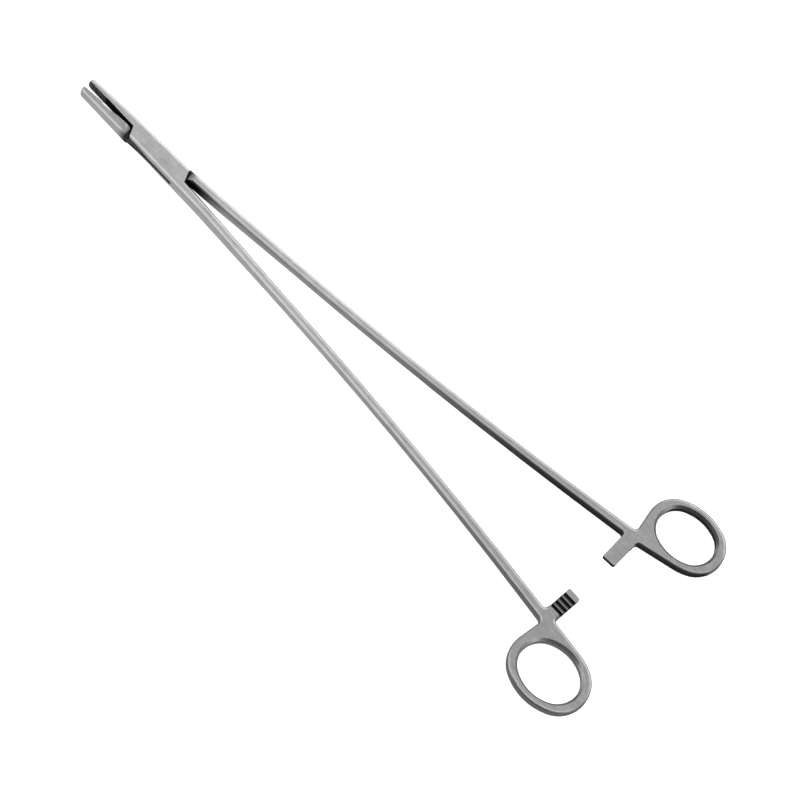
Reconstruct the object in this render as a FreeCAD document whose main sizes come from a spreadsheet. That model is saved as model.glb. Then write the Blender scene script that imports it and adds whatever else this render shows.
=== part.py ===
"""Box-lock needle holder, lying flat: two interlocking halves and the rivet they turn on.

X runs forward to the jaw tips and Y to the side where the box half's ring lies.
Each half is drawn closed, symmetric about its own mid-plane, then turned open about the
rivet and lifted so that the underside of the box lies on z = 0.
"""
import FreeCAD, Part
import math
import os

import Sketcher

BEYOND = 40.0          # a length that passes right through the steel
MARGIN = 5.0           # how far waste outlines reach past the steel
TOUCH = 0.01           # nearer than this, a point counts as lying on a face
UPRIGHT_RATIO = 0.02   # a unit normal that rises less than this belongs to a standing wall
LEVEL_RATIO = 0.9      # one that rises more than this belongs to an upper or lower surface

DIMENSIONS = {
    # the box and the flat passage through it
    "box_width": 7.5,
    "box_thickness": 6.0,
    "jaw_side_rear_box_half": 4.1,
    "jaw_side_front_box_half": 3.25,
    "shank_side_front_box_half": 3.75,
    "shank_side_rear_box_half": 3.75,
    "jaw_side_rear_tenon_half": 3.65,
    "jaw_side_front_tenon_half": 3.65,
    "shank_side_front_tenon_half": 3.05,
    "shank_side_rear_tenon_half": 3.65,
    "cheek_thickness": 1.9,
    "cheek_reach": 13.0,
    "cheek_slant": 2.0,
    "passage_slant": 3.0,
    "tenon_play": 0.05,
    "tenon_end_play": 0.3,
    "shoulder_gap": 0.3,
    "shoulder_ease_length": 2.2,
    "shoulder_ease_depth": 0.8,
    # the rivet
    "rivet_diameter": 3.2,
    "rivet_play": 0.05,
    # the jaws
    "jaw_reach": 35.0,
    "jaw_tip_width_box_half": 1.75,
    "jaw_tip_width_tenon_half": 2.0,
    "jaw_tip_thickness": 4.7,
    "jaw_tip_round": 1.35,
    "jaw_root_bend": 20.0,
    "jaw_taper_start": 12.0,
    "bite_gap": 0.03,
    "pad_length": 8.6,
    "relief_length": 7.6,
    "relief_box_half": 0.12,
    "relief_tenon_half": 0.4,
    "groove_pitch": 1.0,
    "groove_width": 0.3,
    "groove_depth": 0.12,
    "groove_row_count": 8.0,
    "groove_line_count": 4.0,
    # the shanks
    "shank_parting": 0.05,
    "shank_outer_angle": 1.8,
    "shank_inner_angle": 1.93,
    "shank_root_reach": 25.0,
    "shank_root_bend": 150.0,
    "shank_bow_run": 73.2,
    "shank_outer_flare_angle": 6.5,
    "shank_inner_flare_angle": 5.9,
    "shank_outer_bow_ratio": 21.1749,
    "shank_inner_bow_ratio": 25.2732,
    "shank_thickness": 4.5,
    "shank_slope_start": 28.5,
    "shank_slope_end": 60.0,
    "profile_round": 40.0,
    "edge_round": 1.2,
    # the finger rings: an outer oval and the oval of the opening
    "ring_behind_arm_box_half": 14.6,
    "ring_behind_arm_tenon_half": 13.1,
    "ring_offset": 25.9,
    "ring_lean_angle_box_half": 0.8,
    "ring_lean_angle_tenon_half": -0.9,
    "ring_length_box_half": 31.5,
    "ring_width_box_half": 25.1,
    "ring_length_tenon_half": 30.1,
    "ring_width_tenon_half": 23.1,
    "ring_end_band": 3.9,
    "ring_side_band": 2.95,
    "ring_nose_ratio": 0.92,
    "web_before_arm": 0.3,
    "web_round": 1.5,
    "opening_bevel": 0.95,
    # the ratchet
    "arm_reach": 207.2,
    "arm_width": 5.2,
    "arm_corner": 0.6,
    "arm_root_length": 1.9234,
    "arm_crotch_round": 1.2,
    "arm_heel_round": 1.2,
    "arm_past_middle_box_half": 0.7,
    "arm_past_middle_tenon_half": -0.2,
    "arm_play": 0.1,
    "tooth_pitch": 2.0,
    "tooth_depth": 0.8,
    "tooth_drop": 0.3,
    "tooth_count": 4.0,
    "tooth_land": 2.1,
    # the pose that the parts are delivered in
    "opening_angle": 4.6,
}


class Size:
    """A number that knows the spreadsheet expression it comes from."""

    def __init__(self, value, text):
        self.value = value
        self.text = text

    def __add__(self, other):
        other = as_size(other)
        return Size(self.value + other.value, f"({self.text} + {other.text})")

    def __sub__(self, other):
        other = as_size(other)
        return Size(self.value - other.value, f"({self.text} - {other.text})")

    def __mul__(self, other):
        other = as_size(other)
        return Size(self.value * other.value, f"({self.text} * {other.text})")

    def __truediv__(self, other):
        other = as_size(other)
        return Size(self.value / other.value, f"({self.text} / {other.text})")

    def __neg__(self):
        return Size(-self.value, f"(-1 * {self.text})")


def as_size(number):
    return number if isinstance(number, Size) else Size(float(number), f"{float(number):.6f}")


def sine(angle):
    return Size(math.sin(math.radians(angle.value)), f"sin({angle.text})")


def cosine(angle):
    return Size(math.cos(math.radians(angle.value)), f"cos({angle.text})")


def tangent(angle):
    return Size(math.tan(math.radians(angle.value)), f"tan({angle.text})")


def make_sheet(doc):
    """The driving dimensions, one row each, in millimetres and degrees."""
    sheet = doc.addObject("Spreadsheet::Sheet", "Sizes")
    for row, (name, number) in enumerate(DIMENSIONS.items(), start=1):
        sheet.set(f"A{row}", name)
        sheet.set(f"B{row}", str(number))
        sheet.setAlias(f"B{row}", name)
    return sheet


def size(name):
    return Size(DIMENSIONS[name], f"Sizes.{name}")


class Drawing:
    """A sketch on one of a body's origin planes, with every point bound to the sheet."""

    def __init__(self, body, name, plane="XY_Plane", offset=None):
        self.sketch = body.newObject("Sketcher::SketchObject", name)
        flat = next(item for item in body.Origin.OriginFeatures if item.Role == plane)
        self.sketch.AttachmentSupport = [(flat, "")]
        self.sketch.MapMode = "FlatFace"
        if offset is not None:
            self.sketch.setExpression("AttachmentOffset.Base.z", offset.text)

    def rule(self, kind, *parts, value=None):
        """Adds one constraint, bound to its expression when it carries a size."""
        if value is None:
            return self.sketch.addConstraint(Sketcher.Constraint(kind, *parts))
        number = math.radians(value.value) if kind == "Angle" else value.value
        index = self.sketch.addConstraint(Sketcher.Constraint(kind, *parts, number))
        suffix = " * 1 deg" if kind == "Angle" else ""
        self.sketch.setExpression(f"Constraints[{index}]", value.text + suffix)
        return index

    def place(self, item, end, point):
        """Holds an end or the centre of an item at a bound position."""
        self.rule("DistanceX", -1, 1, item, end, value=point[0])
        self.rule("DistanceY", -1, 1, item, end, value=point[1])

    def mark(self, point):
        """A construction point at a bound position."""
        item = self.sketch.addGeometry(Part.Point(vector(point)), True)
        self.place(item, 1, point)
        return item

    def circle(self, centre, radius):
        item = self.sketch.addGeometry(Part.Circle(vector(centre), FreeCAD.Vector(0, 0, 1), radius.value))
        self.place(item, 3, centre)
        self.rule("Radius", item, value=radius)
        return item

    def polygon(self, corners):
        """A closed outline. A corner is (x, y) or (x, y, radius) for a rounded one."""
        count = len(corners)
        ends = []
        for index, corner in enumerate(corners):
            before = corners[index - 1]
            after = corners[(index + 1) % count]
            ends.append(round_ends(vector(before), vector(corner), vector(after), corner_radius(corner)))
        sides = []
        for index in range(count):
            start = ends[index][1]
            finish = ends[(index + 1) % count][0]
            sides.append(self.sketch.addGeometry(Part.LineSegment(start, finish)))
        for index, corner in enumerate(corners):
            arriving = sides[index - 1]
            leaving = sides[index]
            if corner_radius(corner) is None:
                self.rule("Coincident", arriving, 2, leaving, 1)
                self.place(leaving, 1, corner)
            else:
                self.soft_corner(arriving, leaving, corner, ends[index])
        return sides

    def soft_corner(self, arriving, leaving, corner, ends):
        """An arc tangent to two lines that would meet at the given corner."""
        point = self.mark(corner[:2])
        self.rule("PointOnObject", point, 1, arriving)
        self.rule("PointOnObject", point, 1, leaving)
        start, finish, centre = ends
        arc, left_turn = self.arc(centre, corner[2].value, start, finish)
        first, last = (1, 2) if left_turn else (2, 1)
        self.rule("Tangent", arriving, 2, arc, first)
        self.rule("Tangent", arc, last, leaving, 1)
        self.rule("Radius", arc, value=corner[2])

    def arc(self, centre, radius, start, finish):
        """The short arc from start to finish. Says whether it turns to the left."""
        left_turn = cross(start - centre, finish - centre) > 0
        low, high = (start, finish) if left_turn else (finish, start)
        circle = Part.Circle(centre, FreeCAD.Vector(0, 0, 1), radius)
        low_angle = math.atan2(low.y - centre.y, low.x - centre.x)
        high_angle = math.atan2(high.y - centre.y, high.x - centre.x)
        return self.sketch.addGeometry(Part.ArcOfCircle(circle, low_angle, high_angle)), left_turn


def vector(point):
    return FreeCAD.Vector(point[0].value, point[1].value, 0)


def corner_radius(corner):
    return corner[2] if len(corner) > 2 else None


def cross(first, second):
    return first.x * second.y - first.y * second.x


def unit(direction):
    return direction * (1.0 / direction.Length)


def side_normal(direction):
    """The left-hand normal of a direction in the drawing's plane."""
    return FreeCAD.Vector(-direction.y, direction.x, 0)


def round_ends(before, corner, after, radius):
    """Where a corner's arc starts and ends, and its centre."""
    if radius is None:
        return corner, corner, None
    arriving = unit(corner - before)
    leaving = unit(after - corner)
    turn = math.atan2(cross(arriving, leaving), arriving.dot(leaving))
    cut = radius.value * math.tan(abs(turn) / 2)
    start = corner - arriving * cut
    centre = start + side_normal(arriving) * math.copysign(radius.value, turn)
    return start, corner + leaving * cut, centre


def touch_point(outside, centre, radius, left):
    """Where the tangent from an outside point touches a circle, on its left or right."""
    gap = centre - outside
    reach = math.sqrt(gap.Length ** 2 - radius ** 2)
    swing = math.atan2(radius, reach) * (1 if left else -1)
    heading = math.atan2(gap.y, gap.x) + swing
    return outside + FreeCAD.Vector(math.cos(heading), math.sin(heading), 0) * reach


def ring_reach(half):
    """How far behind the rivet the middle of the ring lies."""
    return size("arm_reach") + size(f"ring_behind_arm_{half}")


class Oval:
    """An oval of two nose arcs and two flatter side arcs, leaning about its middle."""

    def __init__(self, half, end_band, side_band):
        self.length = size(f"ring_length_{half}") / 2 - end_band
        self.width = size(f"ring_width_{half}") / 2 - side_band
        self.lean = size(f"ring_lean_angle_{half}")
        self.middle = (-ring_reach(half), size("ring_offset"))
        self.nose = self.width * size("ring_nose_ratio")
        self.along = self.length - self.nose
        spare = self.width - self.nose
        self.side = (self.along * self.along + self.width * self.width - self.nose * self.nose) / (spare * 2)
        self.across = self.side - self.width
        self.swing = math.degrees(math.atan2(self.across.value, self.along.value))

    def nose_centre(self):
        along = self.along * cosine(self.lean)
        across = self.along * sine(self.lean)
        return (self.middle[0] + along, self.middle[1] + across)

    def arc_centres(self):
        """Centres in the order front nose, far side, rear nose, near side."""
        lean = math.radians(self.lean.value)
        along = FreeCAD.Vector(math.cos(lean), math.sin(lean), 0)
        across = side_normal(along)
        middle = vector(self.middle)
        return [
            middle + along * self.along.value,
            middle - across * self.across.value,
            middle - along * self.along.value,
            middle + across * self.across.value,
        ]

    def arc_angles(self):
        lean = self.lean.value
        front = [lean - self.swing, lean + self.swing]
        return front + [180 + front[0], 180 + front[1], 360 + front[0]]

    def draw(self, drawing, start=None, finish=None):
        """Draws the oval, whole or from a start angle on the front nose to a finish angle."""
        angles = self.arc_angles()
        if start is not None:
            angles[0] = start
            angles[4] = finish
        arcs = []
        for index, (centre, radius) in enumerate(zip(self.arc_centres(), [self.nose, self.side] * 2)):
            circle = Part.Circle(centre, FreeCAD.Vector(0, 0, 1), radius.value)
            span = (math.radians(angles[index]), math.radians(angles[index + 1]))
            arcs.append(drawing.sketch.addGeometry(Part.ArcOfCircle(circle, *span)))
        middle = drawing.mark(self.middle)
        drawing.place(arcs[0], 3, self.nose_centre())
        drawing.rule("Radius", arcs[0], value=self.nose)
        drawing.rule("Equal", arcs[0], arcs[2])
        drawing.rule("Symmetric", arcs[0], 3, arcs[2], 3, middle, 1)
        drawing.rule("Radius", arcs[1], value=self.side)
        drawing.rule("Tangent", arcs[0], 2, arcs[1], 1)
        drawing.rule("Tangent", arcs[1], 2, arcs[2], 1)
        drawing.rule("Tangent", arcs[2], 2, arcs[3], 1)
        if start is None:
            drawing.rule("Tangent", arcs[3], 2, arcs[0], 1)
            drawing.rule("Equal", arcs[1], arcs[3])
        else:
            drawing.rule("Symmetric", arcs[1], 3, arcs[3], 3, middle, 1)
        return arcs


def forging_corners(half):
    """The outline's corners, from the ratchet arm's heel round the jaw to the ring's web."""
    inner, edge = block_reaches(half)
    bite = size("bite_gap") / 2
    run = size("shank_bow_run")
    bow = size("arm_reach") - run
    root = size("shank_root_reach")
    shank_side = size(f"shank_side_rear_{half}")
    bow_out = shank_side + (bow - root) * tangent(size("shank_outer_angle"))
    bow_in = inner_flank(inner)
    arm_front = size("arm_reach") - size("arm_width") / 2
    arm_rear = size("arm_reach") + size("arm_width") / 2
    inner_rise = tangent(size("shank_inner_flare_angle"))
    web = size("arm_reach") - size("web_before_arm")
    web_out = bow_out + (web - bow) * tangent(size("shank_outer_flare_angle"))
    return [
        (-arm_rear, bow_in + (arm_rear - bow) * inner_rise, size("arm_heel_round")),
        (-arm_rear, arm_root()),
        (-arm_front, arm_root()),
        (-arm_front, bow_in + (arm_front - bow) * inner_rise, size("arm_crotch_round")),
        (-bow, bow_in, run * size("shank_inner_bow_ratio")),
        (-inner, size("shank_parting")),
        (-edge, -size(f"jaw_side_rear_{half}")),
        (size("jaw_taper_start"), -size(f"jaw_side_front_{half}"), size("jaw_root_bend")),
        (size("jaw_reach"), -size(f"jaw_tip_width_{half}"), size("jaw_tip_round")),
        (size("jaw_reach"), -bite),
        (inner, -bite),
        (edge, size(f"shank_side_front_{half}")),
        (-root, shank_side, size("shank_root_bend")),
        (-bow, bow_out, run * size("shank_outer_bow_ratio")),
        (-web, web_out, size("web_round")),
    ]


def draw_forging(drawing, half, ring):
    """The outline of a whole half: jaw, middle block, shank and ring, drawn closed."""
    sketch = drawing.sketch
    corners = forging_corners(half)
    nose_centre = vector(ring.nose_centre())
    near_centre = ring.arc_centres()[3]
    heel_touch = touch_point(vector(corners[0]), near_centre, ring.side.value, True)
    web_touch = touch_point(vector(corners[-1]), nose_centre, ring.nose.value, False)

    path = [heel_touch] + [vector(corner) for corner in corners] + [web_touch]
    ends = []
    for index, corner in enumerate(corners):
        ends.append(round_ends(path[index], path[index + 1], path[index + 2], corner_radius(corner)))
    starts = [heel_touch] + [end[1] for end in ends]
    finishes = [end[0] for end in ends] + [web_touch]
    lines = [sketch.addGeometry(Part.LineSegment(*pair)) for pair in zip(starts, finishes)]
    for index, corner in enumerate(corners):
        if corner_radius(corner) is None:
            drawing.rule("Coincident", lines[index], 2, lines[index + 1], 1)
            drawing.place(lines[index + 1], 1, corner)
        else:
            drawing.soft_corner(lines[index], lines[index + 1], corner, ends[index])

    start = bearing(nose_centre, web_touch)
    finish = bearing(near_centre, heel_touch)
    arcs = ring.draw(drawing, start, finish + 360)
    drawing.rule("Tangent", lines[-1], 2, arcs[0], 1)
    drawing.rule("Tangent", arcs[3], 2, lines[0], 1)


def bearing(centre, point):
    return math.degrees(math.atan2(point.y - centre.y, point.x - centre.x))


def block_reaches(half):
    """How far the slanted ends of the middle block reach, at the middle and at its side."""
    reach = size("cheek_reach")
    if half == "box_half":
        return reach, reach - size("cheek_slant")
    play = size("tenon_end_play")
    return reach - play, reach - size("passage_slant") - play


def inner_flank(inner):
    """Where the shank's inner side would be at the bow's corner, seen from the parting's start."""
    bow = size("arm_reach") - size("shank_bow_run")
    return size("shank_parting") + (bow - inner) * tangent(size("shank_inner_angle"))


def arm_root():
    """Where the arm changes from full to half thickness, a set length off the shank's side."""
    front = size("shank_bow_run") - size("arm_width") / 2
    flank = inner_flank(size("cheek_reach")) + front * tangent(size("shank_inner_flare_angle"))
    return flank - size("arm_root_length")


def add_feature(body, kind, name, profile, length, symmetric=False, reverse=False):
    feature = body.newObject(f"PartDesign::{kind}", name)
    feature.Profile = profile
    feature.Type = "Length"
    feature.setExpression("Length", length.text)
    feature.SideType = "Symmetric" if symmetric else "One side"
    feature.Reversed = reverse
    profile.Visibility = False
    return feature


def settle(doc, body, feature, removes=None):
    """Recomputes, and checks that a cut removed steel and that a pad added some."""
    before = volume_before(body, feature)
    body.Tip = feature
    doc.recompute()
    if "Invalid" in feature.State or "Error" in feature.State or feature.Shape.isNull():
        raise RuntimeError(f"{feature.Label} failed: {feature.State}")
    change = feature.Shape.Volume - before
    if removes is not None and change * (-1 if removes else 1) <= 0:
        raise RuntimeError(f"{feature.Label} changed the volume by {change:.3f} mm3")
    return feature


def volume_before(body, feature):
    """The volume of the last solid feature that stands before this one in the body."""
    solids = [item for item in body.Group if item.isDerivedFrom("PartDesign::Feature") and item != feature]
    return solids[-1].Shape.Volume if solids else 0.0


def rim_edges(shape, wanted):
    """Names of the edges between a standing wall and the upper or lower surface."""
    names = []
    for index, edge in enumerate(shape.Edges, start=1):
        faces = shape.ancestorsOfType(edge, Part.Face)
        if len(faces) != 2:
            continue
        middle = edge.valueAt((edge.FirstParameter + edge.LastParameter) / 2)
        leans = sorted(abs(face_normal(face, middle).z) for face in faces)
        if leans[0] < UPRIGHT_RATIO and leans[1] > LEVEL_RATIO and wanted(middle):
            names.append(f"Edge{index}")
    return names


def face_normal(face, point):
    u, v = face.Surface.parameter(point)
    return face.normalAt(u, v)


def ease_rims(doc, body, base, name, kind, amount, wanted):
    """Rounds (Fillet) or bevels (Chamfer) the wanted edges of the upper and lower surfaces."""
    easing = body.newObject(f"PartDesign::{kind}", name)
    easing.Base = (base, rim_edges(base.Shape, wanted))
    easing.setExpression("Radius" if kind == "Fillet" else "Size", amount.text)
    return settle(doc, body, easing, removes=True)


def forge(doc, body, half):
    """Jaw, block, shank, ring and arm root as one blank, with its thickness and eased edges."""
    ring = Oval(half, as_size(0), as_size(0))
    outline = Drawing(body, f"{half}_outline")
    draw_forging(outline, half, ring)
    blank_height = size("box_thickness") * 2
    blank = add_feature(body, "Pad", f"{half}_blank", outline.sketch, blank_height, symmetric=True)
    settle(doc, body, blank, removes=False)

    profile = Drawing(body, f"{half}_thickness_profile", "XZ_Plane")
    for upper in (1, -1):
        draw_thickness(profile, half, upper)
    whole = as_size(BEYOND * 3)
    thinned = add_feature(body, "Pocket", f"{half}_thickness", profile.sketch, whole, symmetric=True)
    settle(doc, body, thinned, removes=True)

    opening = Drawing(body, f"{half}_opening_outline")
    Oval(half, size("ring_end_band"), size("ring_side_band")).draw(opening)
    hole = add_feature(body, "Pocket", f"{half}_opening", opening.sketch, as_size(BEYOND), symmetric=True)
    settle(doc, body, hole, removes=True)

    ring_middle = vector(ring.middle)
    reach = (ring.length - size("ring_end_band") / 2).value
    width = (ring.width - size("ring_side_band") / 2).value

    def inside_ring(point):
        gap = point - ring_middle
        return math.hypot(gap.x / reach, gap.y / width) < 1

    bevel = size("opening_bevel")
    bevelled = ease_rims(doc, body, hole, f"{half}_opening_edges", "Chamfer", bevel, inside_ring)

    inner, edge = block_reaches(half)
    halfway_out = size("box_width").value / 3
    root = arm_root().value

    def outside(point):
        on_bite = point.x > inner.value - TOUCH and abs(point.y) < size("bite_gap").value
        slanted = edge.value - TOUCH < abs(point.x) < inner.value + TOUCH and abs(point.y) < halfway_out
        on_arm_root = abs(point.y - root) < TOUCH and abs(point.x + size("arm_reach").value) < TOUCH
        return not (inside_ring(point) or on_bite or slanted or on_arm_root)

    return ease_rims(doc, body, bevelled, f"{half}_edges", "Fillet", size("edge_round"), outside)


def draw_thickness(drawing, half, upper):
    """The waste above (or below) the half, seen from the side."""
    half_box = size("box_thickness") / 2 * upper
    half_tip = size("jaw_tip_thickness") / 2 * upper
    half_shank = size("shank_thickness") / 2 * upper
    clear = half_box * 3
    front = size("jaw_reach") + MARGIN
    rear = -(ring_reach(half) + size(f"ring_length_{half}"))
    bend = size("profile_round")
    drawing.polygon([
        (front, half_tip),
        (size("cheek_reach"), half_box, bend),
        (-size("shank_slope_start"), half_box, bend),
        (-size("shank_slope_end"), half_shank, bend),
        (rear, half_shank),
        (rear, clear),
        (front, clear),
    ])


def add_ratchet(doc, body, half):
    """The ratchet arm, half as thick as the shank, with its row of teeth on top."""
    play = size("arm_play") / 2
    reach = size("arm_reach")
    wide = size("arm_width") / 2
    tip = -size(f"arm_past_middle_{half}")
    corner = size("arm_corner")
    inside = arm_root() + size("arm_width") / 4
    arm = Drawing(body, f"{half}_arm_outline", offset=-play)
    arm.polygon([
        (-(reach - wide), inside),
        (-(reach + wide), inside),
        (-(reach + wide), tip, corner),
        (-(reach - wide), tip, corner),
    ])
    bar_height = size("shank_thickness") / 2 - play
    bar = add_feature(body, "Pad", f"{half}_arm", arm.sketch, bar_height, reverse=True)
    settle(doc, body, bar, removes=False)

    pitch = size("tooth_pitch")
    first = tip + size("tooth_land")
    teeth = Drawing(body, f"{half}_tooth_profile", "YZ_Plane", offset=-reach)
    teeth.polygon([
        (first, as_size(0)),
        (first, -play),
        (first + size("tooth_drop"), -play - size("tooth_depth")),
        (first + pitch, -play),
        (first + pitch, as_size(0)),
    ])
    tooth = add_feature(body, "Pocket", f"{half}_tooth", teeth.sketch, size("arm_width") * 2, symmetric=True)
    settle(doc, body, tooth, removes=True)
    return repeat(doc, body, tooth, f"{half}_teeth", "Y_Axis", pitch, size("tooth_count"))


def repeat(doc, body, feature, name, axis, pitch, count):
    pattern = body.newObject("PartDesign::LinearPattern", name)
    line = next(item for item in body.Origin.OriginFeatures if item.Role == axis)
    pattern.Originals = [feature]
    pattern.Direction = (line, [""])
    pattern.Mode = "Extent"
    pattern.setExpression("Length", (pitch * (count - 1)).text)
    pattern.setExpression("Occurrences", count.text)
    return settle(doc, body, pattern, removes=True)


def bore(doc, body, half, radius):
    """The rivet's hole."""
    drawing = Drawing(body, f"{half}_bore_outline")
    drawing.circle((as_size(0), as_size(0)), radius)
    hole = add_feature(body, "Pocket", f"{half}_bore", drawing.sketch, as_size(BEYOND), symmetric=True)
    return settle(doc, body, hole, removes=True)


def cut_passage(doc, body):
    """The flat slot between the cheeks that the other half's tenon passes through."""
    side = size("box_width") / 2
    inner = size("cheek_reach")
    past = side + MARGIN
    lean = size("passage_slant") / side
    beyond = inner - lean * past
    bite = size("bite_gap") / 2
    passage = Drawing(body, "passage_outline")
    passage.polygon([
        (beyond, -past),
        (inner, -bite),
        (inner, past),
        (-beyond, past),
        (-inner, size("shank_parting")),
        (-inner, -past),
    ])
    gap = size("box_thickness") - size("cheek_thickness") * 2
    slot = add_feature(body, "Pocket", "passage", passage.sketch, gap, symmetric=True)
    return settle(doc, body, slot, removes=True)


def cut_tenon(doc, body):
    """The shoulders that leave a flat tenon between the cheeks of the other half."""
    side = size("box_width") / 2
    inner = size("cheek_reach") + size("shoulder_gap")
    lean = size("cheek_slant") / side
    past = side + MARGIN
    half_tenon = size("box_thickness") / 2 - size("cheek_thickness") - size("tenon_play")
    for upper, name in ((1, "upper"), (-1, "lower")):
        shoulder = Drawing(body, f"{name}_shoulder_outline", offset=half_tenon * upper)
        shoulder.polygon([
            (inner - lean * past, -past),
            (inner + lean * past, past),
            (-(inner - lean * past), past),
            (-(inner + lean * past), -past),
        ])
        away = as_size(BEYOND)
        cut = add_feature(body, "Pocket", f"{name}_shoulder", shoulder.sketch, away, reverse=upper > 0)
        settle(doc, body, cut, removes=True)

    top = size("box_thickness") / 2
    depth = size("shoulder_ease_depth")
    length = size("shoulder_ease_length")
    ease = Drawing(body, "shoulder_ease_profile", "XZ_Plane")
    for front in (1, -1):
        for upper in (1, -1):
            ease.polygon([
                (inner * front, (top - depth) * upper),
                ((inner + length) * front, top * upper),
                ((inner + length) * front, (top + depth) * upper),
                (inner * front, (top + depth) * upper),
            ])
    slope = add_feature(body, "Pocket", "shoulder_ease", ease.sketch, as_size(BEYOND), symmetric=True)
    slope.UseCustomVector = True
    slope.Direction = FreeCAD.Vector(lean.value, 1, 0)
    slope.setExpression("Direction.x", lean.text)
    return settle(doc, body, slope, removes=True)


def finish_bite(doc, body, half):
    """The relief behind the gripping pad, and the crossed grooves in the pad's face."""
    bite = size("bite_gap") / 2
    tip = size("jaw_reach")
    heel = tip - size("pad_length")
    end = heel - size("relief_length")
    floor = -bite - size(f"relief_{half}")
    clear = size("box_width") / 2
    relief = Drawing(body, f"{half}_relief_outline")
    relief.polygon([
        (heel, clear),
        (end, clear),
        (end, -bite),
        (end + size("relief_length") / 2, floor),
        (heel - size(f"relief_{half}"), floor),
        (heel, -bite),
    ])
    step = add_feature(body, "Pocket", f"{half}_relief", relief.sketch, as_size(BEYOND), symmetric=True)
    settle(doc, body, step, removes=True)

    pitch = size("groove_pitch")
    wide = size("groove_width") / 2
    tall = size("box_thickness")
    across = Drawing(body, f"{half}_cross_groove_outline", "XZ_Plane", offset=bite)
    first = heel + pitch / 2
    across.polygon([(first - wide, -tall), (first + wide, -tall), (first + wide, tall), (first - wide, tall)])
    depth = size("groove_depth")
    groove = add_feature(body, "Pocket", f"{half}_cross_groove", across.sketch, depth, reverse=True)
    settle(doc, body, groove, removes=True)
    repeat(doc, body, groove, f"{half}_cross_grooves", "X_Axis", pitch, size("groove_row_count"))

    along = Drawing(body, f"{half}_long_groove_outline", "XZ_Plane", offset=bite)
    low = -pitch * (size("groove_line_count") - 1) / 2
    past = tip + pitch
    along.polygon([(heel, low - wide), (past, low - wide), (past, low + wide), (heel, low + wide)])
    groove = add_feature(body, "Pocket", f"{half}_long_groove", along.sketch, depth, reverse=True)
    settle(doc, body, groove, removes=True)
    return repeat(doc, body, groove, f"{half}_long_grooves", "Z_Axis", pitch, size("groove_line_count"))


def make_half(doc, half):
    """One half of the instrument, from its blank to its last groove."""
    body = doc.addObject("PartDesign::Body", half)
    body.Label = half
    forge(doc, body, half)
    add_ratchet(doc, body, half)
    radius = size("rivet_diameter") / 2
    if half == "box_half":
        cut_passage(doc, body)
        bore(doc, body, half, radius)
    else:
        cut_tenon(doc, body)
        bore(doc, body, half, radius + size("rivet_play"))
    finish_bite(doc, body, half)
    return body


def make_rivet(doc):
    """The rivet, ground flush with both cheeks."""
    body = doc.addObject("PartDesign::Body", "rivet_pin")
    body.Label = "rivet_pin"
    drawing = Drawing(body, "rivet_outline")
    drawing.circle((as_size(0), as_size(0)), size("rivet_diameter") / 2)
    shank = add_feature(body, "Pad", "rivet_shank", drawing.sketch, size("box_thickness"), symmetric=True)
    settle(doc, body, shank, removes=False)
    return body


def stand(body, flipped, turn):
    """Turns a half open about the rivet and lifts it on to the table."""
    body.setExpression("Placement.Base.z", "Sizes.box_thickness / 2")
    if flipped:
        body.setExpression("Placement.Rotation.Angle", "180 * 1 deg")
        body.setExpression("Placement.Rotation.Axis.x", cosine(turn / 2).text)
        body.setExpression("Placement.Rotation.Axis.y", sine(turn / 2).text)
        body.setExpression("Placement.Rotation.Axis.z", "0")
    else:
        body.setExpression("Placement.Rotation.Angle", turn.text + " * 1 deg")


def check(doc, bodies):
    for item in doc.Objects:
        if "Invalid" in item.State or "Error" in item.State:
            raise RuntimeError(f"{item.Label} did not recompute: {item.State}")
    for body in bodies:
        if body.Shape.isNull() or not body.Shape.isValid() or len(body.Shape.Solids) != 1:
            raise RuntimeError(f"{body.Label} is not one sound solid")


def main():
    doc = FreeCAD.newDocument("needle_holder")
    make_sheet(doc)
    box_half = make_half(doc, "box_half")
    tenon_half = make_half(doc, "tenon_half")
    rivet_pin = make_rivet(doc)
    half_turn = size("opening_angle") / 2
    stand(box_half, False, -half_turn)
    stand(tenon_half, True, half_turn)
    stand(rivet_pin, False, -half_turn)
    doc.recompute()
    bodies = [box_half, tenon_half, rivet_pin]
    check(doc, bodies)
    os.makedirs("parts", exist_ok=True)
    for body in bodies:
        body.Shape.exportStep(f"parts/{body.Label}.step")
        print(f"{body.Label}: {body.Shape.Volume:.1f} mm3")


main()
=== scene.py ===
"""Needle holder on a pale floor, seen from above as in the photograph.

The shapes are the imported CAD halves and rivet. This script gives them their satin steel,
the soft studio light and the camera.
"""
import math

import bpy
from mathutils import Matrix, Vector


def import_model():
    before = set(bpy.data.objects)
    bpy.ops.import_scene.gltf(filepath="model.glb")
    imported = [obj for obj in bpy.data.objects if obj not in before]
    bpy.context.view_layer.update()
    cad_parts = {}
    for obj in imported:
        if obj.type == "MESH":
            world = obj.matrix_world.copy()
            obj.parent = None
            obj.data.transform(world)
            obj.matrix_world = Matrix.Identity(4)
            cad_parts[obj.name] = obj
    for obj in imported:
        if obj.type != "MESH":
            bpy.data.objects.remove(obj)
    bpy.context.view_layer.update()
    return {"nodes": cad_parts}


WHITE = (1.0, 1.0, 1.0, 1.0)

# camera: 2.5 m away, leaning from straight above, with a long lens
CAMERA_DISTANCE = 2.5
CAMERA_LEAN = math.radians(22.5)
CAMERA_BEARING = math.radians(110.85)
CAMERA_ROLL = math.radians(-134.15)
CAMERA_TARGET = Vector((-0.1178, 0.0007, 0.0))
CAMERA_REACH = 20.0
SENSOR_WIDTH_MM = 36.0
METRES_PER_PIXEL = 0.000339
IMAGE_PIXELS = 800

# floor: a matt white light table
FLOOR_SIZE = 6.0
FLOOR_COLOR = (0.93, 0.93, 0.93, 1.0)
FLOOR_ROUGHNESS = 0.9
FLOOR_GLOW = 0.75

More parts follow.
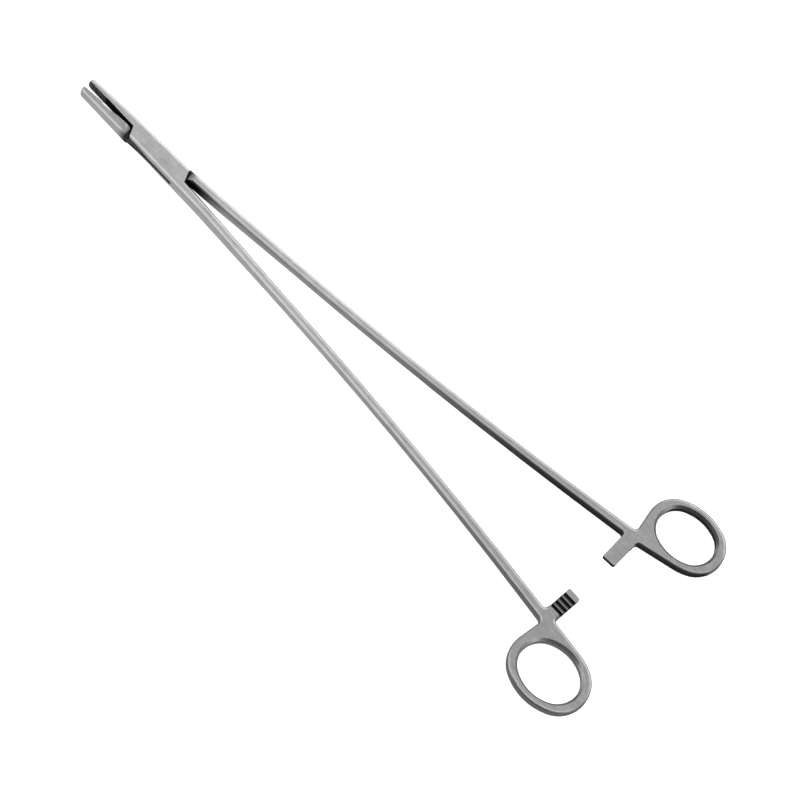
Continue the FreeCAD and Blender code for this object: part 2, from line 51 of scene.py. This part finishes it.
# studio: brightness of the surroundings against the direction's sideways part, -Y to +Y
DOME_ACROSS = [
    (-1.0, 2.0), (-0.8, 1.9), (-0.6, 1.15), (-0.36, 0.68), (-0.1, 0.85), (0.3, 1.25), (0.7, 1.25),
    (1.0, 0.9)]
# and against its upward part, from below the horizon to straight up
DOME_UP = [(-1.0, 0.05), (-0.05, 0.1), (0.06, 0.5), (0.3, 1.0), (1.0, 1.0)]
# the most brightness that either of these two can hold
DOME_MOST = 2.0

# cards that only the steel mirrors, in metres: one under the instrument, light by the jaws and
# dark by the rings, and an even one standing by the rings
CARD_UNDER = [
    (-0.6, -0.5, -0.002), (0.4, -0.5, -0.002), (0.4, 0.5, -0.002), (-0.6, 0.5, -0.002)]
CARD_UNDER_LIGHT = 0.62
CARD_UNDER_DARK = 0.27
CARD_LIGHT_END = -0.07
CARD_DARK_END = -0.205
FLAG = [(-0.52, 0.15, 0.0), (-0.13, 0.15, 0.0), (-0.13, 0.2, 0.17), (-0.52, 0.2, 0.17)]
FLAG_SHADE = 0.11

# the halves: each is turned this much off the X axis, and the rivet's middle lies this high
HALF_OPENING = math.radians(2.3)
MID_HEIGHT = 0.003
# what differs between them: which way up they lie, where their teeth are, how dark the painted
# shade on the shank's inner side gets by the ring, and how far crevices' painted shade reaches
BOX_HALF = {
    "side": 1.0, "teeth": (0.0014, 0.0094), "ring_side_painted_shade": 0.1, "crevice_shade_reach": 0.0015}
TENON_HALF = {
    "side": -1.0, "teeth": (0.0023, 0.0103), "ring_side_painted_shade": 0.72, "crevice_shade_reach": 0.003}

# Below, places are in metres along a closed half. Shades are painted shade, from nought to one,
# where one is black. Facings are parts of a surface's direction, from where a shade starts to
# where it is full.
SOFT = 0.0001
FULL_SHADE_LEFT = 0.03

# gripping face: painted shade
BITE_START = 0.0125
BITE_DEPTH = 0.0016
BITE_FACING = (0.25, 0.5)

# tooth row: painted shade, darkest in the valleys
ARM_REAR = -0.2099
ARM_FRONT = -0.2045
TOOTH_TOP = -0.0001
TOOTH_FLOOR = -0.0009
TOOTH_CREST_SHADE = 0.58

# tenon, the shoulders that slope down to it, and the tenon half's jaw: painted shade on each
TENON_END = 0.0132
TENON_HALF_HEIGHT = 0.00115
TENON_SHADE = 0.75
SHOULDER_END = 0.0168
SHOULDER_SHADE = 0.6
SHOULDER_GAP_SHADE = 0.88
JAW_SHADE = 0.36
JAW_FLAT_FACING = (0.8, 0.97)

# inner sides of the shanks: painted shade
CROTCH_START = -0.013
CROTCH_END = -0.032
CROTCH_SHADE = 0.9
INNER_SIDE_SHADE = 0.35
INNER_SIDE_FACING = (-0.12, -0.6)
RING_SIDE_START = -0.09
RING_SIDE_END = -0.18

# steel: its reflectance by the box, how much of that a painted shade leaves at the rings' end,
# and how much its clouds, its streaks and its worn edges change it
STEEL_SHADE = 0.53
RING_END = -0.2
BOX_END = -0.04
RING_END_PAINTED_SHARE = 0.77
CLOUD_SWING = 0.03
STREAK_SWING = 0.02
EDGE_GAIN = 0.12
# painted shades beyond which it loses its bright rim, and its shine of metal
RIM_LOSS = (0.3, 1.0)
METAL_LOSS = (0.85, 1.0)

# its roughness along smooth and rough streaks, and what handling and the places of painted shade
# add
SMOOTH_STREAK = 0.22
ROUGH_STREAK = 0.34
HANDLED_ROUGHNESS = 0.06
DARK_ROUGHNESS = 0.25
RELIEF_STRENGTH = 0.12
RELIEF_DEPTH = 0.00004

# its patterns: how often they change per metre, their detail, and how they are drawn out
STREAKS = (3200.0, 4.0, (0.08, 1.0, 1.0))
CLOUDS = (240.0, 3.0, (1.0, 1.0, 1.0))
HANDLING = (700.0, 6.0, (1.0, 1.0, 1.0))
# parts of a pattern's range that its effects go over
TONE_RANGE = (0.3, 0.7)
STREAK_ROUGHNESS_RANGE = (0.25, 0.75)
HANDLED_ROUGHNESS_RANGE = (0.4, 0.7)
EDGE_WEAR_RANGE = (0.35, 0.65)

# sharp edges: the radius that they look worn to, how far the direction bends there, and the
# least wear
EDGE_SOFTNESS = 0.00015
EDGE_SAMPLES = 4
EDGE_BEND = (0.99, 0.9)
LEAST_WEAR = 0.3
# painted shade in crevices: how closed a place is when it starts to darken and at its
# darkest, and the level there
CREVICE_SAMPLES = 8
CREVICE_OPENNESS = (0.62, 0.12)
CREVICE_LEVEL = 0.08


class Tree:
    """The nodes of a material or a world, and the steps that its values are made with."""

    def __init__(self, owner):
        owner.use_nodes = True
        self.nodes = owner.node_tree.nodes
        self.links = owner.node_tree.links

    def feed(self, socket, value):
        """Sets a socket to a number, or links it to another node's output."""
        if isinstance(value, (int, float)):
            socket.default_value = value
        else:
            self.links.new(value, socket)

    def parts(self, vector):
        """The X, Y and Z of a vector, by name."""
        node = self.nodes.new("ShaderNodeSeparateXYZ")
        self.links.new(vector, node.inputs["Vector"])
        return node.outputs

    def step(self, operation, first, second=0.0):
        node = self.nodes.new("ShaderNodeMath")
        node.operation = operation
        self.feed(node.inputs[0], first)
        self.feed(node.inputs[1], second)
        return node.outputs["Value"]

    def join(self, operation, values):
        result = values[0]
        for value in values[1:]:
            result = self.step(operation, result, value)
        return result

    def product(self, *values):
        return self.join("MULTIPLY", values)

    def total(self, *values):
        return self.join("ADD", values)

    def most(self, *values):
        return self.join("MAXIMUM", values)

    def ramp(self, value, start, end, at_start, at_end):
        """Goes smoothly from at_start to at_end as the value goes from start to end."""
        node = self.nodes.new("ShaderNodeMapRange")
        node.interpolation_type = "SMOOTHSTEP"
        node.inputs["From Min"].default_value = start
        node.inputs["From Max"].default_value = end
        node.inputs["To Min"].default_value = at_start
        node.inputs["To Max"].default_value = at_end
        self.links.new(value, node.inputs["Value"])
        return node.outputs["Result"]

    def inside(self, value, low, high):
        """One between low and high, and nought beyond them."""
        rising = self.ramp(value, low - SOFT, low, 0.0, 1.0)
        falling = self.ramp(value, high, high + SOFT, 1.0, 0.0)
        return self.product(rising, falling)

    def graph(self, value, stops):
        """A share of DOME_MOST that follows the stops, as the value goes from -1 to 1."""
        node = self.nodes.new("ShaderNodeFloatCurve")
        curve = node.mapping.curves[0]
        points = [((place + 1.0) / 2.0, level / DOME_MOST) for place, level in stops]
        curve.points[0].location = points[0]
        curve.points[1].location = points[-1]
        for place, level in points[1:-1]:
            curve.points.new(place, level)
        for point in curve.points:
            point.handle_type = "AUTO_CLAMPED"
        node.mapping.update()
        half = self.product(value, 0.5)
        self.links.new(self.total(half, 0.5), node.inputs["Value"])
        return node.outputs["Value"]

    def noise(self, place, pattern):
        scale, detail, stretch = pattern
        drawn = self.nodes.new("ShaderNodeMapping")
        drawn.inputs["Scale"].default_value = stretch
        self.links.new(place, drawn.inputs["Vector"])
        node = self.nodes.new("ShaderNodeTexNoise")
        node.inputs["Scale"].default_value = scale
        node.inputs["Detail"].default_value = detail
        self.links.new(drawn.outputs["Vector"], node.inputs["Vector"])
        return node.outputs["Fac"]


def camera_turn():
    """The camera's orientation: rolled about the vertical, then leaned over."""
    across = Vector((-math.sin(CAMERA_BEARING), math.cos(CAMERA_BEARING), 0.0))
    return Matrix.Rotation(CAMERA_LEAN, 4, across) @ Matrix.Rotation(CAMERA_ROLL, 4, "Z")


def add_camera():
    data = bpy.data.cameras.new("photo_camera")
    data.sensor_width = SENSOR_WIDTH_MM
    data.lens = SENSOR_WIDTH_MM * CAMERA_DISTANCE / METRES_PER_PIXEL / IMAGE_PIXELS
    data.clip_end = CAMERA_REACH
    camera = bpy.data.objects.new("photo_camera", data)
    bpy.context.scene.collection.objects.link(camera)
    turn = camera_turn()
    place = CAMERA_TARGET + turn.to_3x3() @ Vector((0, 0, CAMERA_DISTANCE))
    camera.matrix_world = Matrix.Translation(place) @ turn
    bpy.context.scene.camera = camera


def add_studio():
    """A soft tent of light: brightest to both sides, dimmer overhead, dark below the table."""
    world = bpy.data.worlds.new("studio")
    tree = Tree(world)
    direction = tree.nodes.new("ShaderNodeTexCoord")
    parts = tree.parts(direction.outputs["Generated"])
    across = tree.graph(parts["Y"], DOME_ACROSS)
    upward = tree.graph(parts["Z"], DOME_UP)
    background = tree.nodes["Background"]
    background.inputs["Color"].default_value = WHITE
    strength = tree.product(across, upward, DOME_MOST * DOME_MOST)
    tree.links.new(strength, background.inputs["Strength"])
    bpy.context.scene.world = world


def plate(name, corners, material):
    """A flat, four-cornered piece of the setting."""
    mesh = bpy.data.meshes.new(name)
    mesh.from_pydata(corners, [], [(0, 1, 2, 3)])
    mesh.materials.append(material)
    piece = bpy.data.objects.new(name, mesh)
    bpy.context.scene.collection.objects.link(piece)
    return piece


def glow_material(name, light, dark):
    """Shines light at the jaws' end and dark at the rings' end."""
    material = bpy.data.materials.new(name)
    tree = Tree(material)
    tree.nodes.remove(tree.nodes["Principled BSDF"])
    glow = tree.nodes.new("ShaderNodeEmission")
    tree.links.new(glow.outputs["Emission"], tree.nodes["Material Output"].inputs["Surface"])
    place = tree.nodes.new("ShaderNodeTexCoord")
    along = tree.parts(place.outputs["Object"])["X"]
    strength = tree.ramp(along, CARD_DARK_END, CARD_LIGHT_END, dark, light)
    tree.links.new(strength, glow.inputs["Strength"])
    return material


def add_card(name, corners, light, dark):
    """A plain card that is mirrored in the steel and neither seen nor lit otherwise."""
    card = plate(name, corners, glow_material(name, light, dark))
    card.visible_camera = False
    card.visible_diffuse = False
    card.visible_shadow = False


def floor_material():
    material = bpy.data.materials.new("pale_floor")
    shader = Tree(material).nodes["Principled BSDF"]
    shader.inputs["Base Color"].default_value = FLOOR_COLOR
    shader.inputs["Roughness"].default_value = FLOOR_ROUGHNESS
    shader.inputs["Specular IOR Level"].default_value = 0.0
    shader.inputs["Emission Color"].default_value = WHITE
    shader.inputs["Emission Strength"].default_value = FLOOR_GLOW
    return material


def add_floor():
    half = FLOOR_SIZE / 2
    corners = [(-half, -half, 0), (half, -half, 0), (half, half, 0), (-half, half, 0)]
    floor = plate("floor", corners, floor_material())
    floor.visible_glossy = False


def closed_frame(tree, source, side, kind):
    """A half's own directions: its ring at +Y and its teeth facing up, as if closed."""
    node = tree.nodes.new("ShaderNodeMapping")
    node.vector_type = kind
    node.inputs["Rotation"].default_value = (0.0, 0.0, HALF_OPENING)
    node.inputs["Scale"].default_value = (1.0, side, side)
    if kind == "POINT":
        node.inputs["Location"].default_value = (0.0, 0.0, -MID_HEIGHT * side)
    tree.links.new(source, node.inputs["Vector"])
    return node.outputs["Vector"]


def bite_painted_shade(tree, at, facing):
    """The serrated gripping face: painted shade, nearly black, and duller."""
    forward = tree.ramp(at["X"], BITE_START - SOFT, BITE_START, 0.0, 1.0)
    near = tree.inside(at["Y"], -BITE_DEPTH, BITE_DEPTH)
    turned = tree.ramp(facing["Y"], *BITE_FACING, 0.0, 1.0)
    return tree.product(forward, near, turned)


def tooth_painted_shade(tree, at, teeth):
    """The ratchet's tooth row: painted shade, dark in its valleys, greyer on its crests."""
    along = tree.inside(at["Y"], *teeth)
    across = tree.inside(at["X"], ARM_REAR, ARM_FRONT)
    deep = tree.ramp(at["Z"], TOOTH_FLOOR, TOOTH_TOP, 1.0, TOOTH_CREST_SHADE)
    above = tree.ramp(at["Z"], TOOTH_FLOOR - SOFT, TOOTH_FLOOR, 0.0, 1.0)
    return tree.product(along, across, deep, above)


def shoulder_painted_shade(tree, at):
    """Painted shade: the tenon, dark between the cheeks, and the shoulders that slope down to it.
    """
    away = tree.step("ABSOLUTE", at["X"])
    height = tree.step("ABSOLUTE", at["Z"])
    within = tree.product(
        tree.ramp(away, TENON_END - SOFT, TENON_END, 1.0, 0.0),
        tree.ramp(
            height, TENON_HALF_HEIGHT, TENON_HALF_HEIGHT + SOFT, TENON_SHADE, SHOULDER_GAP_SHADE))
    beyond = tree.product(
        tree.ramp(away, TENON_END - SOFT, TENON_END, 0.0, 1.0),
        tree.ramp(away, TENON_END, SHOULDER_END, SHOULDER_SHADE, 0.0))
    return tree.most(within, beyond)


def jaw_flat_painted_shade(tree, at, facing):
    """Painted shade on the flats of the tenon half's jaw, darker than its sides."""
    level = tree.step("ABSOLUTE", facing["Z"])
    flat = tree.ramp(level, *JAW_FLAT_FACING, 0.0, JAW_SHADE)
    forward = tree.ramp(at["X"], TENON_END - SOFT, TENON_END, 0.0, 1.0)
    return tree.product(flat, forward)


def inner_side_painted_shade(tree, at, facing, ring_painted_shade):
    """Painted shade on the sides that the halves turn to each other, darkest in the crotch."""
    turned = tree.ramp(facing["Y"], *INNER_SIDE_FACING, 0.0, 1.0)
    behind = tree.ramp(at["X"], CROTCH_START - SOFT, CROTCH_START, 1.0, 0.0)
    shade = tree.total(
        tree.ramp(at["X"], CROTCH_END, CROTCH_START, 0.0, CROTCH_SHADE - INNER_SIDE_SHADE),
        tree.ramp(at["X"], RING_SIDE_END, RING_SIDE_START, ring_painted_shade, INNER_SIDE_SHADE))
    return tree.product(turned, behind, shade)


def painted_shade_places(tree, at, facing, half):
    """How much painted shade darkens the steel, and how much duller it is made, by where it lies
    on its half.
    """
    dark = tree.most(
        bite_painted_shade(tree, at, facing),
        tooth_painted_shade(tree, at, half["teeth"]),
        inner_side_painted_shade(tree, at, facing, half["ring_side_painted_shade"]))
    if half is TENON_HALF:
        dark = tree.most(dark, shoulder_painted_shade(tree, at), jaw_flat_painted_shade(tree, at, facing))
    return dark


def worn_edges(tree, handling):
    """A direction that rounds sharp edges over, and how worn each place is."""
    rounded = tree.nodes.new("ShaderNodeBevel")
    rounded.samples = EDGE_SAMPLES
    rounded.inputs["Radius"].default_value = EDGE_SOFTNESS
    sharp = tree.nodes.new("ShaderNodeNewGeometry")
    bend = tree.nodes.new("ShaderNodeVectorMath")
    bend.operation = "DOT_PRODUCT"
    tree.links.new(rounded.outputs["Normal"], bend.inputs[0])
    tree.links.new(sharp.outputs["Normal"], bend.inputs[1])
    edge = tree.ramp(bend.outputs["Value"], *EDGE_BEND, 0.0, 1.0)
    uneven = tree.ramp(handling, *EDGE_WEAR_RANGE, LEAST_WEAR, 1.0)
    return rounded.outputs["Normal"], tree.product(edge, uneven)


def crevice_painted_shade(tree, reach):
    """Painted shade in crevices: one in the open, and nearly nought in a crevice."""
    node = tree.nodes.new("ShaderNodeAmbientOcclusion")
    node.samples = CREVICE_SAMPLES
    node.inputs["Distance"].default_value = reach
    return tree.ramp(node.outputs["AO"], *CREVICE_OPENNESS, 1.0, CREVICE_LEVEL)


def satin_steel(name, half):
    """Satin steel: fine streaks along the work, worn bright edges and painted shade in crevices.
    """
    material = bpy.data.materials.new(name)
    tree = Tree(material)
    shader = tree.nodes["Principled BSDF"]
    shader.inputs["Metallic"].default_value = 1.0
    shader.inputs["Specular IOR Level"].default_value = 0.0

    source = tree.nodes.new("ShaderNodeTexCoord")
    place = closed_frame(tree, source.outputs["Object"], half["side"], "POINT")
    at = tree.parts(place)
    facing = tree.parts(closed_frame(tree, source.outputs["Normal"], half["side"], "VECTOR"))
    streaks = tree.noise(place, STREAKS)
    clouds = tree.noise(place, CLOUDS)
    handling = tree.noise(place, HANDLING)
    # dark: how much painted shade each place gets, from nought to one
    dark = painted_shade_places(tree, at, facing, half)
    rounded, wear = worn_edges(tree, handling)

    tone = tree.total(
        tree.ramp(clouds, *TONE_RANGE, STEEL_SHADE - CLOUD_SWING, STEEL_SHADE + CLOUD_SWING),
        tree.ramp(streaks, *TONE_RANGE, -STREAK_SWING, STREAK_SWING),
        tree.product(wear, EDGE_GAIN))
    # painted shade darkens the colour towards the rings, in the dark places and in crevices
    color = tree.product(
        tone,
        tree.ramp(at["X"], RING_END, BOX_END, RING_END_PAINTED_SHARE, 1.0),
        tree.ramp(dark, 0.0, 1.0, 1.0, FULL_SHADE_LEFT),
        crevice_painted_shade(tree, half["crevice_shade_reach"]))
    tree.links.new(color, shader.inputs["Base Color"])
    # where the painted shade is deepest, the steel also loses its bright rim and its shine of
    # metal
    tree.links.new(tree.ramp(dark, *RIM_LOSS, 1.0, 0.0), shader.inputs["Specular Tint"])
    tree.links.new(tree.ramp(dark, *METAL_LOSS, 1.0, 0.0), shader.inputs["Metallic"])

    rough = tree.total(
        tree.ramp(streaks, *STREAK_ROUGHNESS_RANGE, SMOOTH_STREAK, ROUGH_STREAK),
        tree.ramp(handling, *HANDLED_ROUGHNESS_RANGE, 0.0, HANDLED_ROUGHNESS),
        tree.product(dark, DARK_ROUGHNESS))
    tree.links.new(rough, shader.inputs["Roughness"])

    relief = tree.nodes.new("ShaderNodeBump")
    relief.inputs["Strength"].default_value = RELIEF_STRENGTH
    relief.inputs["Distance"].default_value = RELIEF_DEPTH
    tree.links.new(streaks, relief.inputs["Height"])
    tree.links.new(rounded, relief.inputs["Normal"])
    tree.links.new(relief.outputs["Normal"], shader.inputs["Normal"])
    return material


def dress(node, material):
    node.data.materials.clear()
    node.data.materials.append(material)


def main():
    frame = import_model()
    nodes = frame["nodes"]
    add_camera()
    add_studio()
    add_floor()
    add_card("card_under", CARD_UNDER, CARD_UNDER_LIGHT, CARD_UNDER_DARK)
    add_card("flag", FLAG, FLAG_SHADE, FLAG_SHADE)
    bpy.context.scene.view_settings.view_transform = "Standard"
    dress(nodes["box_half"], satin_steel("box_half_satin", BOX_HALF))
    dress(nodes["tenon_half"], satin_steel("tenon_half_satin", TENON_HALF))
    dress(nodes["rivet_pin"], satin_steel("rivet_satin", BOX_HALF))


main()
